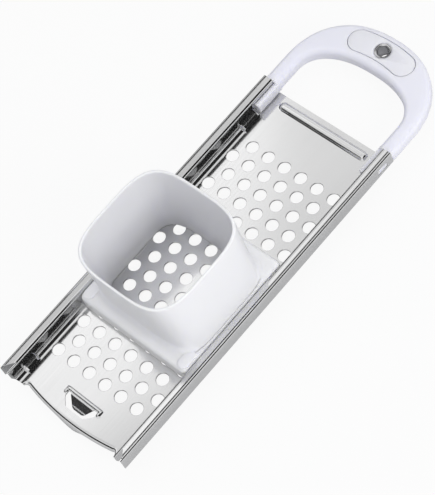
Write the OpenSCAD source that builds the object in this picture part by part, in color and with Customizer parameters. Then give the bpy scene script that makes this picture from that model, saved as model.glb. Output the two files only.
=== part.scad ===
// Spaetzle maker: a perforated steel tray with folded side rails, a batter hopper that
// slides between the rails, and a bow handle that clips into the ends of the rails.
//
// X runs across the tray, Y along it towards the handle, and Z up. Inside the modules
// Y starts at the tray's front end and Z at the plate's upper face. The finished pieces
// are moved so that the origin is the middle of the whole length, on the table.

/* [Tray] */
// Length of the folded steel tray
tray_l = 238.8; // [200:0.2:280]
// Clear width between the two rail walls
channel_w = 86.8; // [80:0.2:100]
// Thickness of the steel sheet
sheet_t = 0.8; // [0.6:0.1:1.2]
// Inside radius of the bend between the plate and a rail wall
bend_r = 4; // [3:0.1:5]
// Height of the rails above the plate
rail_h = 12; // [10:0.1:16]
// Width of a rail over its two walls
rail_w = 6.9; // [6:0.1:9]
// Outside radius of the two folds along the top of a rail
fold_r = 1.4; // [1.3:0.1:2]
// Height of the outer skirt's lower edge above the plate
skirt_gap = 2.5; // [0:0.1:4]

/* [Perforations] */
// Diameter of the holes that the batter drops through
hole_d = 8; // [5:0.1:9]
// Distance from one hole to each of its neighbours
hole_pitch = 13; // [11:0.1:13.5]
// Number of holes in a row across the plate
hole_cols = 6; // [4:1:6]
// Number of rows along the plate
hole_rows = 16; // [8:1:16]
// Distance from the front end to the first row of holes
first_row_y = 31; // [28:0.1:36]

/* [Front lip] */
// Distance from the front end to where the rolled edge starts, beside each wall
bend_cut = 2.2; // [0.5:0.1:4]
// Length of the straight run with which the rolled edge starts
lip_end = 0.2; // [0.1:0.1:3]
// Radius of the slight bow of the lip in plan
lip_plan_r = 170; // [150:1:400]
// Radius of the rolled front edge
lip_r = 2.7; // [2:0.1:3]
// Width of the flat strip left between the rolled edge and each bend
lip_margin = 0.8; // [0.7:0.1:3]
// Radius of the rolled edge's two corners, in plan
lip_corner_r = 3.9; // [3.2:0.1:8]
// Radius of the roll where it starts, besides the sheet's thickness
lip_start_r = 0.3; // [0.2:0.1:1]
// Depth of the middle tongue below the plate
tongue_h = 10.6; // [8:0.1:14]
// Width of the tongue at its root
tongue_w = 28; // [24:0.2:40]
// Depth of the short skirt below the rolled edge, beside the tongue
lip_skirt = 0.3; // [0.2:0.1:1]

/* [Pot hook] */
// Distance from the front end to the straight side of the hook's opening
hook_y = 15.5; // [14:0.1:18]
// Width of the opening along its straight side
hook_w = 24; // [20:0.1:28]
// Width of the opening at its front
hook_tip_w = 13; // [8:0.1:16]
// Length of the opening from its straight side to its front
hook_l = 8.3; // [8:0.1:10]
// Length of the opening's two ends, before they slant towards its front
hook_end_l = 3.3; // [1:0.1:5]
// Length of the tab that is bent down out of the opening
tab_l = 7.2; // [5:0.1:9]
// Width of the tab at its root
tab_w = 19; // [16:0.1:22]
// Width of the tab at its tip
tab_tip_w = 8.5; // [6:0.1:12]
// Angle that the tab is bent down from the plate
tab_angle = 34; // [20:1:60]
// Height of the stiffening ridge above the plate, beside the tab's root
ridge_h = 1.2; // [0.9:0.1:1.6]
// Width of the stiffening ridge
ridge_w = 3; // [2.6:0.1:4]
// Length of the ridge's two returns beside the ends of the opening
ridge_return = 4; // [2:0.1:6]
// Gap between the returns and the ends of the opening
ridge_gap = 0.3; // [0.2:0.1:1]

/* [Stops and bead] */
// Radius of the pressed stops that end the hopper's travel
stop_r = 2.6; // [2.2:0.1:3]
// Distance of a stop's middle line inside the bend's face
stop_sink = 0.6; // [0.4:0.1:0.8]
// Distance from the front end to the face of the front stops that meets the hopper
front_stop_y = 20.5; // [16:0.1:24]
// Length of a front stop
front_stop_l = 11.5; // [8:0.1:14]
// Distance from the rear end to the face of the rear stops that meets the hopper
rear_stop_y = 33.8; // [28:0.1:40]
// Length of a rear stop
rear_stop_l = 15; // [8:0.1:20]
// Distance from the rear end to the middle of the stiffening bead
bead_y = 6.6; // [5:0.1:9]
// Length of the bead across the plate
bead_l = 69; // [50:0.2:72]
// Width of the bead
bead_w = 6; // [5:0.1:7]
// Height of the bead above the plate
bead_h = 2; // [1.5:0.1:2.5]

/* [Flange details] */
// Length of the slanted cut in the top flange, along its outer side
slant_short = 2; // [1:0.1:4]
// Length of the slanted cut, along its inner side
slant_long = 8.4; // [6:0.1:12]
// Radius of the fine line pressed along the flange
groove_r = 0.5; // [0.3:0.05:0.6]
// Distance of this line from the rail's outer face
groove_x = 1.8; // [1.5:0.1:2.5]

/* [Snap windows] */
// Length of the window in each outer skirt
window_l = 8; // [5:0.1:10]
// Height of the window
window_h = 4; // [3:0.1:5]
// Distance from the rear end to the middle of the window
window_y = 8.8; // [8:0.1:11]

/* [Hopper] */
// Distance from the front end to the hopper's middle, at rest
hopper_y = 104.3; // [90:0.1:120]
// Length of the sled along the tray
sled_l = 86; // [84:0.2:92]
// Height of the sled's upper face above the plate
sled_h = 11.2; // [9:0.1:13]
// Thickness of the sled's skin and skirts
sled_t = 2.2; // [1.8:0.1:2.6]
// Radius of the sled's upper edges beside the walls
sled_side_r = 1.5; // [1:0.1:2]
// Radius of the sled's upper edges at its front and rear
sled_end_r = 2.4; // [1.5:0.1:3]
// Radius of the sled's corners in plan
sled_corner_r = 3; // [2:0.1:4]
// Height of the cup's rim above the plate
cup_h = 61.2; // [45:0.2:80]
// Thickness of the cup's wall
cup_t = 2.3; // [1.8:0.1:2.6]
// Width of the chamber at the plate, across the tray
base_w = 80; // [78:0.1:80.4]
// Length of the chamber at the plate, along the tray
base_l = 63.4; // [56:0.2:66]
// Width of the cup over its rim, across the tray
mouth_w = 78.4; // [70:0.2:84]
// Length of the cup over its rim, along the tray
mouth_l = 76.6; // [66:0.2:84]
// Squareness of the chamber's outline at the plate
base_square = 5; // [4:0.1:9]
// Squareness of the cup's outline at its rim
mouth_square = 3.8; // [3:0.1:5]
// Radius of the fillet between the cup and the sled
fillet_r = 5; // [3:0.1:6]
// Length of the raised pad on each front corner of the sled
pad_l = 12; // [8:0.1:14]
// Width of the pad
pad_w = 7; // [5:0.1:8]
// Height of the pad above the sled
pad_h = 0.8; // [0.5:0.1:1.5]
// Distance from the pad to the sled's side
pad_side = 0.9; // [0.5:0.1:2]
// Distance from the pad to the sled's front
pad_front = 1.5; // [1:0.1:4]

/* [Handle] */
// Width of a leg of the bow
leg_w = 10.3; // [9:0.1:11]
// Height of a leg
leg_h = 10; // [8:0.1:11]
// Length of the straight leg behind the tray
leg_l = 17.2; // [8:0.1:30]
// Reach of the bow's outer edge past the straight legs
bow_reach = 47.9; // [40:0.1:60]
// Width of the grip at the middle of the bow
grip_w = 25.2; // [20:0.1:28]
// Height of the grip at the middle of the bow
grip_h = 10.7; // [9:0.1:13]
// Squareness of the bow's outline
bow_square = 2.3; // [2:0.05:3]
// Radius of the bow's long edges
bow_edge_r = 3.4; // [2:0.1:4]
// Length of the tongue and blade that go into the rail
tongue_l = 18; // [15:0.1:22]
// Height of the blade beside the rail wall, above the plate
blade_h = 8.2; // [6:0.1:9]

// Gap between the tongue and the underside of the rail's top flange, besides its play
tongue_drop = 1; // [0.8:0.1:2]
// Depth of the snap tab's face inside the rail's outer face
snap_sink = 0.1; // [0.05:0.05:0.3]

/* [Handle inlay] */
// Length of the inlay along the grip
inlay_l = 48.5; // [36:0.1:54]
// Width of the inlay
inlay_w = 15.3; // [13:0.1:17]
// Thickness of the inlay
inlay_t = 2; // [1.6:0.1:3]
// Distance of the inlay's middle line outside the middle of the grip
inlay_shift = 0.8; // [0:0.1:1.5]
// Width of the groove round the inlay
inlay_gap = 0.3; // [0.2:0.05:0.5]

/* [Hanging eyelet] */
// Diameter of the hole in the eyelet
eyelet_d = 7.5; // [5:0.1:8]
// Thickness of the eyelet's metal
eyelet_t = 0.6; // [0.4:0.05:0.8]
// Diameter of the eyelet's flange
flange_d = 10.8; // [10:0.1:12]
// Diameter of the washer under the handle
washer_d = 12.5; // [11:0.1:14]
// Gap between the eyelet's barrel and its hole
eyelet_gap = 0.05; // [0.05:0.05:0.2]
// Gap round the flange in its seat
flange_gap = 0.4; // [0.2:0.05:0.6]
// Gap round the washer in its recess
washer_gap = 0.2; // [0.1:0.05:0.5]

/* [Clearances] */
// Gap between the sled and each rail wall
slide_gap = 0.5; // [0.3:0.05:0.8]
// Gap between the sled and the plate
seat_gap = 0.2; // [0.1:0.05:0.4]
// Gap round the tongue, the blade and the snap tab in the rail
clip_gap = 0.15; // [0.1:0.05:0.3]

/* [Hidden] */
$fn = 48;

cut = 1; // how far a cutting shape reaches past what it cuts
channel_half = channel_w / 2;
rail_out = channel_half + rail_w;
bend_x = channel_half - bend_r;
sled_half = channel_half - slide_gap;
bow_y = tray_l + leg_l;
grip_y = bow_y + bow_reach - grip_w / 2 + inlay_shift;
row_step = hole_pitch * sin(60);
whole_l = bow_y + bow_reach;
round_steps = 64;
bow_steps = 40;
cup_levels = 6;

// A mix of two values: a at 0 and b at 1.
function mix(a, b, u) = a + (b - a) * u;

// A number raised to a power, with its sign kept.
function signed_pow(v, p) = sign(v) * pow(abs(v), p);

// A point on a squarish oval of half sizes a and b. Squareness 2 is an ellipse.
function oval(a, b, square, turn) =
    [a * signed_pow(cos(turn), 2 / square), b * signed_pow(sin(turn), 2 / square)];

// Moves a piece from the tray's front end to the part's origin.
module placed() {
    translate([0, -whole_l / 2, tongue_h]) children();
}

// Draws its children once on each side of the tray.
module both_sides() {
    children();
    mirror([1, 0, 0]) children();
}

// Extrudes an outline, drawn with X across and Y as height, along the tray.
module along_tray(from, to) {
    translate([0, to, 0]) rotate([90, 0, 0]) linear_extrude(to - from) children();
}

// Extrudes an outline, drawn with X along the tray and Y as height, across it.
module across_tray(half_w) {
    rotate([90, 0, 90]) translate([0, 0, -half_w]) linear_extrude(2 * half_w) children();
}

// A closed skin over sections that follow one another, with flat ends.
module section_skin(sections) {
    n = len(sections[0]);
    m = len(sections);
    polyhedron(
        points = [for (s = sections) each s],
        faces = concat(
            [[for (j = [n - 1 : -1 : 0]) j]],
            [[for (j = [0 : n - 1]) (m - 1) * n + j]],
            [for (i = [0 : m - 2]) for (j = [0 : n - 1])
                let (a = i * n + j, b = i * n + (j + 1) % n)
                each [[a, b, b + n], [a, b + n, a + n]]]
        ),
        convexity = 6
    );
}

// ---------- Tray ----------

// A rectangle from x0 to x1 and from z0 to z1 with its two upper corners rounded.
module arched(x0, x1, z0, z1, r) {
    translate([x0, z0]) square([x1 - x0, z1 - r - z0]);
    translate([x0 + r, z0]) square([x1 - x0 - 2 * r, z1 - z0]);
    translate([x0 + r, z1 - r]) circle(r);
    translate([x1 - r, z1 - r]) circle(r);
}

// The space between the rail walls, grown outwards, down to its rounded lower corners.
module channel_outline(grow, top) {
    r = bend_r + grow;
    translate([-bend_x, -grow]) square([2 * bend_x, top + grow]);
    translate([-bend_x - r, bend_r]) square([2 * (bend_x + r), top - bend_r]);
    for (side = [-1, 1]) {
        translate([side * bend_x, bend_r]) circle(r);
    }
}

// One half of the folded sheet: plate, bend, rail wall, top flange and outer skirt.
module sheet_outline() {
    translate([0, -sheet_t]) square([bend_x, sheet_t]);
    intersection() {
        translate([bend_x, bend_r]) difference() {
            circle(bend_r + sheet_t);
            circle(bend_r);
        }
        translate([bend_x, -sheet_t]) square(bend_r + sheet_t);
    }
    difference() {
        union() {
            arched(channel_half, rail_out, bend_r, rail_h, fold_r);
            translate([rail_out - sheet_t, skirt_gap]) square([sheet_t, rail_h / 2]);
        }
        arched(
            channel_half + sheet_t, rail_out - sheet_t, bend_r - cut,
            rail_h - sheet_t, fold_r - sheet_t
        );
    }
}

// A straight bead with round ends, lying along Y, pressed to this radius.
module bead(length, r) {
    rotate([-90, 0, 0]) cylinder(h = length, r = r);
    sphere(r);
    translate([0, length, 0]) sphere(r);
}

// All pressed forms: the four stops, the rear bead and the ridge beside the hook.
// With the sheet's thickness taken off, the same forms hollow out their undersides.
module pressings(off) {
    stop_out = (bend_r - stop_sink) * sin(45);
    front_l = front_stop_l - 2 * stop_r;
    rear_l = rear_stop_l - 2 * stop_r;
    both_sides() translate([bend_x + stop_out, 0, bend_r - stop_out]) {
        translate([0, front_stop_y - stop_r - front_l, 0]) bead(front_l, stop_r - off);
        translate([0, tray_l - rear_stop_y + stop_r, 0]) bead(rear_l, stop_r - off);
    }
    crosswise(tray_l - bead_y, bead_l, bead_w, bead_h, off);
    crosswise(hook_y + ridge_w / 2, hook_w + 2 * (ridge_gap + ridge_w), ridge_w, ridge_h, off);
    both_sides() translate([
        (hook_w + ridge_w) / 2 + ridge_gap,
        hook_y + ridge_w / 2 - ridge_return,
        ridge_h - low_bead_r(ridge_w, ridge_h)
    ]) bead(ridge_return, low_bead_r(ridge_w, ridge_h) - off);
}

// Radius of a low bead that has this width and height on the plate.
function low_bead_r(width, height) = (width * width / 4 + height * height) / (2 * height);

// A low bead across the plate, with its middle in the middle of the plate.
module crosswise(y, length, width, height, off) {
    r = low_bead_r(width, height);
    run = length - width;
    translate([run / 2, y, height - r]) rotate([0, 0, 90]) bead(run, r - off);
}

// The holes stand in rows that are shifted by half a step, so each has six neighbours.
module perforations() {
    for (row = [0 : hole_rows - 1]) {
        for (col = [0 : hole_cols - 1]) {
            shift = (row % 2 == 0) ? -0.25 : 0.25;
            x = (col - (hole_cols - 1) / 2 + shift) * hole_pitch;
            translate([x, first_row_y + row * row_step, -sheet_t - cut])
                cylinder(h = sheet_t + 2 * cut, d = hole_d);
        }
    }
}

// The rolled front edge follows a bowed line with a round corner at each end. Its two
// corner circles touch the bow where the half angle says.
lip_half = bend_x - lip_margin;
lip_corner_x = lip_half - lip_corner_r;
lip_corner_y = bend_cut + lip_end;
lip_half_angle = asin(lip_corner_x / (lip_plan_r + lip_corner_r));
lip_axis_y = lip_corner_y + (lip_plan_r + lip_corner_r) * cos(lip_half_angle);

// Points along the edge from left to right, each with the way the edge rolls there and
// the share of its full roll, which grows along the corners.
function corner_stop(side, u) =
    let (a = mix(180, 90 - lip_half_angle, u), out = [-side * cos(a), sin(a)])
    [[side * lip_corner_x, lip_corner_y] + lip_corner_r * out, -out, u];

function lip_path() =
    let (corner_steps = 6, bow_half_steps = 14)
    concat(
        [[[-lip_half, bend_cut], [1, 0], 0]],
        [for (i = [0 : corner_steps - 1]) corner_stop(-1, i / corner_steps)],
        [for (i = [-bow_half_steps : bow_half_steps])
            let (a = lip_half_angle * i / bow_half_steps, way = [sin(a), -cos(a)])
            [[0, lip_axis_y] + lip_plan_r * way, way, 1]],
        [for (i = [corner_steps - 1 : -1 : 0]) corner_stop(1, i / corner_steps)],
        [[[lip_half, bend_cut], [-1, 0], 0]]
    );

// Depth of the front edge below the plate: the tongue swells smoothly in its middle.
function lip_depth(x) =
    let (u = min(abs(x) / (tongue_w / 2), 1), side_h = lip_r + lip_skirt)
    side_h + (tongue_h - side_h) * (1 + cos(180 * u)) / 2;

// One section of the front edge: a quarter turn down from the plate, and a short skirt.
function lip_section(stop) =
    let (
        way = stop[1],
        r = mix(sheet_t + lip_start_r, lip_r, stop[2]),
        low = -mix(r + lip_skirt, lip_depth(stop[0][0]), stop[2]),
        in_r = r - sheet_t,
        line = concat(
            [for (a = [0 : 22.5 : 90]) [r * sin(a), r * (cos(a) - 1)]],
            [[r, low], [in_r, low]],
            [for (a = [90 : -30 : 0]) [in_r * sin(a), in_r * cos(a) - r]]
        )
    )
    [for (p = line) [stop[0][0] + way[0] * p[0], stop[0][1] + way[1] * p[0], p[1]]];

module front_lip() {
    stops = lip_path();
    section_skin([for (i = [len(stops) - 1 : -1 : 0]) lip_section(stops[i])]);
}

// What is missing of the plate in front of the rolled edge.
module lip_opening() {
    edge = [for (stop = lip_path()) stop[0]];
    outline = concat([[-lip_half, -cut]], edge, [[lip_half, -cut]]);
    section_skin([for (z = [-sheet_t - cut, cut]) [for (p = outline) [p[0], p[1], z]]]);
}

// The tab is cut free on three sides and bent down, so that it hooks over a pot's rim.
module hook_tab() {
    translate([0, hook_y, 0]) rotate([tab_angle, 0, 0]) translate([0, 0, -sheet_t])
        linear_extrude(sheet_t) polygon([
            [-tab_w / 2, sheet_t], [tab_w / 2, sheet_t],
            [tab_tip_w / 2, -tab_l], [-tab_tip_w / 2, -tab_l]
        ]);
}

module hook_opening() {
    end_y = hook_y - hook_end_l;
    front_y = hook_y - hook_l;
    translate([0, 0, -sheet_t - cut]) linear_extrude(sheet_t + cut + ridge_h)
        polygon([
            [-hook_w / 2, hook_y], [hook_w / 2, hook_y], [hook_w / 2, end_y],
            [hook_tip_w / 2, front_y], [-hook_tip_w / 2, front_y], [-hook_w / 2, end_y]
        ]);
}

// The two bends are cut back at a slant, down to where the rolled edge starts.
module bend_relief() {
    overlap = 0.3;
    from = lip_half - overlap;
    top = bend_r + sheet_t;
    translate([from, 0, 0]) rotate([90, 0, 90]) linear_extrude(channel_half + sheet_t + overlap - from)
        polygon([
            [-cut, top], [0, top], [bend_cut, 0],
            [bend_cut, -sheet_t - cut], [-cut, -sheet_t - cut]
        ]);
}

// The top flange is cut back at a slant, so the rail's front end is open from above.
module flange_cut() {
    inside = channel_half + sheet_t;
    outside = rail_out - sheet_t;
    translate([0, 0, rail_h - fold_r]) linear_extrude(fold_r + cut)
        polygon([[inside, -cut], [inside, slant_long], [outside, slant_short], [outside, -cut]]);
}

// A fine line pressed along the top of the rail, clear of the slanted cut.
module flange_groove() {
    translate([rail_out - groove_x, slant_long, rail_h + groove_r / 2]) rotate([-90, 0, 0])
        cylinder(h = tray_l, r = groove_r);
}

module snap_window(gap) {
    reach = 2 * sheet_t;
    z = (rail_h + skirt_gap) / 2 - sheet_t;
    translate([rail_out - reach, tray_l - window_y - window_l / 2 + gap, z - window_h / 2 + gap])
        cube([reach + cut, window_l - 2 * gap, window_h - 2 * gap]);
}

module tray() {
    color("silver") placed() {
        difference() {
            union() {
                along_tray(0, tray_l) both_sides() sheet_outline();
                intersection() {
                    pressings(0);
                    along_tray(0, tray_l) channel_outline(sheet_t, rail_h);
                }
            }
            pressings(sheet_t);
            perforations();
            lip_opening();
            hook_opening();
            both_sides() {
                bend_relief();
                flange_cut();
                flange_groove();
                snap_window(0);
            }
        }
        front_lip();
        hook_tab();
    }
}

// ---------- Hopper ----------

// One ring of the cup: the chamber's outline at this height, grown by these amounts.
function cup_ring(z, grow_x, grow_y) =
    let (
        u = z / cup_h,
        half_w = mix(base_w, mouth_w - 2 * cup_t, u) / 2 + grow_x,
        half_l = mix(base_l, mouth_l - 2 * cup_t, u) / 2 + grow_y,
        square = mix(base_square, mouth_square, u)
    )
    [for (i = [0 : round_steps - 1])
        let (p = oval(half_w, half_l, square, 360 * i / round_steps))
        [p[0], p[1], z]];

// The same outline anywhere on the outside of the wall.
function outer_ring(z) = cup_ring(z, cup_t, cup_t);

// The rings that go up the chamber's wall, round the rim, down the outside, out along
// the fillet into the sled's skin, and down again to the plate.
function cup_rings() =
    let (
        rim_r = cup_t / 2,
        rim_z = cup_h - rim_r,
        foot_x = min(cup_t + fillet_r, sled_half - base_w / 2 - slide_gap / 2),
        foot_y = cup_t + fillet_r,
        skin_z = sled_h - sled_t / 2
    )
    concat(
        [for (i = [0 : cup_levels]) cup_ring(mix(seat_gap, rim_z, i / cup_levels), 0, 0)],
        [for (a = [150 : -30 : 30])
            let (grow = rim_r * (1 + cos(a)))
            cup_ring(rim_z + rim_r * sin(a), grow, grow)],
        [for (i = [0 : cup_levels]) outer_ring(mix(rim_z, sled_h + fillet_r, i / cup_levels))],
        [for (a = [15 : 15 : 75])
            let (u = 1 - cos(a), z = sled_h + fillet_r * (1 - sin(a)))
            cup_ring(z, mix(cup_t, foot_x, u), mix(cup_t, foot_y, u))],
        [cup_ring(sled_h, foot_x, foot_y)],
        [cup_ring(skin_z, foot_x, foot_y)],
        [outer_ring(skin_z)],
        [outer_ring(seat_gap)]
    );

// A closed skin over rings that follow one another and join up at the end.
module ring_skin(rings) {
    n = len(rings[0]);
    m = len(rings);
    polyhedron(
        points = [for (ring = rings) each ring],
        faces = [for (i = [0 : m - 1]) for (j = [0 : n - 1])
            let (a = i * n + j, b = i * n + (j + 1) % n,
                c = ((i + 1) % m) * n + (j + 1) % n, d = ((i + 1) % m) * n + j)
            each [[a, b, c], [a, c, d]]],
        convexity = 6
    );
}

// The room for the hopper between the walls and over the two bends, with its gaps.
module running_room() {
    low = bend_r + seat_gap;
    low_half = sled_half - bend_r;
    top = cup_h + cut;
    translate([-low_half, seat_gap]) square([2 * low_half, top - seat_gap]);
    translate([-sled_half, low]) square([2 * sled_half, top - low]);
    for (side = [-1, 1]) {
        translate([side * low_half, low]) circle(bend_r);
    }
}

// The sled's outline with two rounded upper corners, and open below.
module sled_outline(width, r) {
    translate([-width / 2, 0]) square([width, sled_h - r]);
    translate([-width / 2 + r, 0]) square([width - 2 * r, sled_h]);
    for (side = [-1, 1]) {
        translate([side * (width / 2 - r), sled_h - r]) circle(r);
    }
}

// A rectangle with its middle at the origin and its corners rounded.
module rounded(w, l, r) {
    square([w - 2 * r, l], center = true);
    square([w, l - 2 * r], center = true);
    for (x = [-1, 1]) {
        for (y = [-1, 1]) {
            translate([x * (w / 2 - r), y * (l / 2 - r)]) circle(r);
        }
    }
}

module sled() {
    in_r = sled_corner_r - sled_t / 2;
    difference() {
        intersection() {
            along_tray(-sled_l, sled_l) sled_outline(2 * sled_half, sled_side_r);
            across_tray(channel_half) sled_outline(sled_l, sled_end_r);
            linear_extrude(sled_h + cut) rounded(2 * channel_half, sled_l, sled_corner_r);
        }
        translate([0, 0, -cut]) linear_extrude(sled_h - sled_t + cut)
            rounded(2 * (sled_half - sled_t), sled_l - 2 * sled_t, in_r);
        translate([0, 0, sled_h / 2]) linear_extrude(sled_h)
            polygon([for (p = cup_ring(sled_h, cup_t / 2, cup_t / 2)) [p[0], p[1]]]);
    }
}

// A raised pad with one round end, on a front corner of the sled.
module sled_pad() {
    x = sled_half - pad_w - pad_side;
    y = -sled_l / 2 + pad_front;
    translate([x, y, sled_h - sled_t / 2]) linear_extrude(sled_t / 2 + pad_h) {
        translate([pad_w / 2, 0]) square([pad_w / 2, pad_l]);
        translate([0, pad_w / 2]) square([pad_w, pad_l - pad_w]);
        translate([pad_w / 2, pad_w / 2]) circle(pad_w / 2);
        translate([pad_w / 2, pad_l - pad_w / 2]) circle(pad_w / 2);
    }
}

module hopper() {
    color("white") placed() translate([0, hopper_y, 0]) intersection() {
        union() {
            ring_skin(cup_rings());
            sled();
            both_sides() sled_pad();
        }
        along_tray(-sled_l, sled_l) running_room();
    }
}

// ---------- Handle ----------

// One section of the bow, from its inner to its outer edge, with rounded long edges.
function bow_section(inner, outer, top) =
    let (w = norm(outer - inner), way = (outer - inner) / w, r = min(bow_edge_r, w / 2.2))
    [for (corner = [0 : 3]) for (step = [0 : 4])
        let (
            a = 90 * corner + 22.5 * step,
            u = (corner == 0 || corner == 3) ? w - r : r,
            v = (corner < 2) ? top - r : r,
            p = inner + way * (u + r * cos(a))
        )
        [p[0], p[1], v + r * sin(a)]];

function bow_sections() =
    let (
        inner_half = rail_out - leg_w,
        inner_reach = bow_reach - grip_w,
        leg_in = [inner_half, 0],
        leg_out = [rail_out, 0],
        start = [0, tray_l],
        root = [0, bow_y]
    )
    concat(
        [bow_section(leg_in + start, leg_out + start, leg_h)],
        [for (i = [0 : bow_steps])
            let (a = 180 * i / bow_steps)
            bow_section(
                root + oval(inner_half, inner_reach, bow_square, a),
                root + oval(rail_out, bow_reach, bow_square, a),
                mix(leg_h, grip_h, sin(a))
            )],
        [bow_section(start - leg_in, start - leg_out, leg_h)]
    );

// The tongue inside the rail, with a snap tab that stands out through the window, and
// the blade that lies against the rail's inner wall.
module clip() {
    overlap = 3;
    tongue_x = channel_half + sheet_t + clip_gap;
    tongue_out = rail_out - sheet_t - clip_gap;
    tongue_z = skirt_gap + clip_gap;
    tongue_top = min(leg_h, rail_h - sheet_t - tongue_drop) - clip_gap;
    blade_x = rail_out - leg_w;
    translate([tongue_x, tray_l - tongue_l, tongue_z])
        cube([tongue_out - tongue_x, tongue_l + overlap, tongue_top - tongue_z]);
    intersection() {
        snap_window(clip_gap);
        translate([tongue_x, 0, 0]) cube([rail_out - snap_sink - tongue_x, tray_l, rail_h]);
    }
    intersection() {
        translate([blade_x, tray_l - tongue_l, 0])
            cube([channel_half - clip_gap - blade_x, tongue_l + overlap, blade_h]);
        along_tray(0, 2 * tray_l) translate([0, clip_gap])
            channel_outline(-clip_gap, rail_h);
    }
}

// The inlay follows the middle of the grip: a curved strip with round ends.
module inlay_outline(grow) {
    end_r = inlay_w / 2 + grow;
    reach = inlay_l / 2 - inlay_w / 2;
    mid_half = rail_out - leg_w / 2;
    mid_reach = grip_y - bow_y;
    end_y = mid_reach * pow(1 - pow(reach / mid_half, bow_square), 1 / bow_square);
    sag = mid_reach - end_y;
    curve_r = (reach * reach + sag * sag) / (2 * sag);
    spread = asin(reach / curve_r);
    translate([0, grip_y - curve_r]) {
        intersection() {
            difference() {
                circle(curve_r + end_r, $fn = 180);
                circle(curve_r - end_r, $fn = 180);
            }
            polygon([
                [0, 0],
                2 * curve_r * [-sin(spread), cos(spread)],
                2 * curve_r * [sin(spread), cos(spread)]
            ]);
        }
        for (side = [-1, 1]) {
            translate(curve_r * [side * sin(spread), cos(spread)]) circle(end_r);
        }
    }
}

eyelet_hole_d = eyelet_d + 2 * eyelet_t + 2 * eyelet_gap;

module handle() {
    color("white") placed() difference() {
        union() {
            section_skin(bow_sections());
            both_sides() clip();
        }
        translate([0, 0, grip_h - inlay_t]) linear_extrude(inlay_t + cut)
            inlay_outline(inlay_gap);
        translate([0, grip_y, -cut]) cylinder(h = grip_h, d = eyelet_hole_d);
        translate([0, grip_y, -cut]) cylinder(h = cut + eyelet_t, d = washer_d + 2 * washer_gap);
    }
}

module handle_inlay() {
    color("whitesmoke") placed() difference() {
        translate([0, 0, grip_h - inlay_t]) linear_extrude(inlay_t) inlay_outline(0);
        translate([0, grip_y, 0]) cylinder(h = 2 * grip_h, d = eyelet_hole_d);
        translate([0, grip_y, grip_h - eyelet_t])
            cylinder(h = grip_h, d = flange_d + 2 * flange_gap);
    }
}

// ---------- Hanging eyelet ----------

// A tubular rivet with a flange in the inlay's seat. Its lower end is rolled over the washer.
module hanging_eyelet() {
    hole_r = eyelet_d / 2;
    color("silver") placed() translate([0, grip_y, 0]) {
        difference() {
            cylinder(h = grip_h, r = hole_r + eyelet_t);
            translate([0, 0, -cut]) cylinder(h = grip_h + 2 * cut, r = hole_r);
        }
        translate([0, 0, grip_h - eyelet_t]) rotate_extrude()
            translate([hole_r, 0]) square([flange_d / 2 - hole_r, eyelet_t]);
    }
}

module eyelet_washer() {
    color("silver") placed() translate([0, grip_y, 0]) difference() {
        cylinder(h = eyelet_t, d = washer_d);
        translate([0, 0, -cut]) cylinder(h = eyelet_t + 2 * cut, r = eyelet_d / 2 + eyelet_t);
    }
}

tray();
hopper();
handle();
handle_inlay();
hanging_eyelet();
eyelet_washer();
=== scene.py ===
import math

import bmesh
import bpy
import numpy as np
from mathutils import Matrix, Vector


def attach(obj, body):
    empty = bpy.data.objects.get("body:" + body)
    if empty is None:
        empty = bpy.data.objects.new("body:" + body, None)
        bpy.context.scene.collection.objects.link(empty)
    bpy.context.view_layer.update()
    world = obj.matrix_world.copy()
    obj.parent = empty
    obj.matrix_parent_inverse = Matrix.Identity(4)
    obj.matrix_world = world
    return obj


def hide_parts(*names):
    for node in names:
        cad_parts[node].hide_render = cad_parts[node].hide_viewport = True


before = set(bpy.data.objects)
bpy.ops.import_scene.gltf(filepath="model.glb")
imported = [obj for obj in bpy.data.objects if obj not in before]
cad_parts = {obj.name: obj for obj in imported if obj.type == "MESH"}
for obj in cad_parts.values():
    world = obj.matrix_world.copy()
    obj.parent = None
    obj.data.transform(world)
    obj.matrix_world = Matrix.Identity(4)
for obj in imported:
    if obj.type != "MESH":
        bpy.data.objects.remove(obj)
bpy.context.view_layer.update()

# ---------- Studio ----------
# A pale table top, a soft lamp from the right and a weaker one above, and soft-edged cards,
# dark, grey and bright, that only mirrored rays see, as steel shows little but its room.
# The camera stands where the photograph was taken from, a metre above and to the right.
scene = bpy.context.scene
scene.view_settings.view_transform = "Standard"

# The height and the focal length are in the picture's pixels, and the sensor in millimetres.
FRAME_HEIGHT = 495
FOCAL_LENGTH = 2000
SENSOR = 36

camera_data = bpy.data.cameras.new("photo_camera")
camera_data.sensor_width = SENSOR
camera_data.lens = FOCAL_LENGTH / FRAME_HEIGHT * SENSOR
camera_data.clip_start = 0.05
camera = bpy.data.objects.new("photo_camera", camera_data)
camera.matrix_world = Matrix((
    (0.72304213, -0.49675930, 0.48004195, 0.563632),
    (0.64726940, 0.72996270, -0.21953764, -0.274143),
    (-0.24135535, 0.46945143, 0.84933088, 1.010036),
    (0, 0, 0, 1),
))
scene.collection.objects.link(camera)
scene.camera = camera


def soft_lamp(name, place, size, watts):
    """A square lamp that shines on the tray and is not mirrored in it."""
    lamp = bpy.data.lights.new(name, "AREA")
    lamp.shape = "SQUARE"
    lamp.size = size
    lamp.energy = watts
    obj = bpy.data.objects.new(name, lamp)
    obj.location = place
    obj.rotation_euler = (-Vector(place)).to_track_quat("-Z", "Y").to_euler()
    obj.visible_glossy = False
    scene.collection.objects.link(obj)


soft_lamp("right_lamp", (1.42, 0, 0.9), 0.8, 12)
soft_lamp("ceiling_lamp", (-0.2, 0.1, 1.7), 1.3, 4.5)


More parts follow.
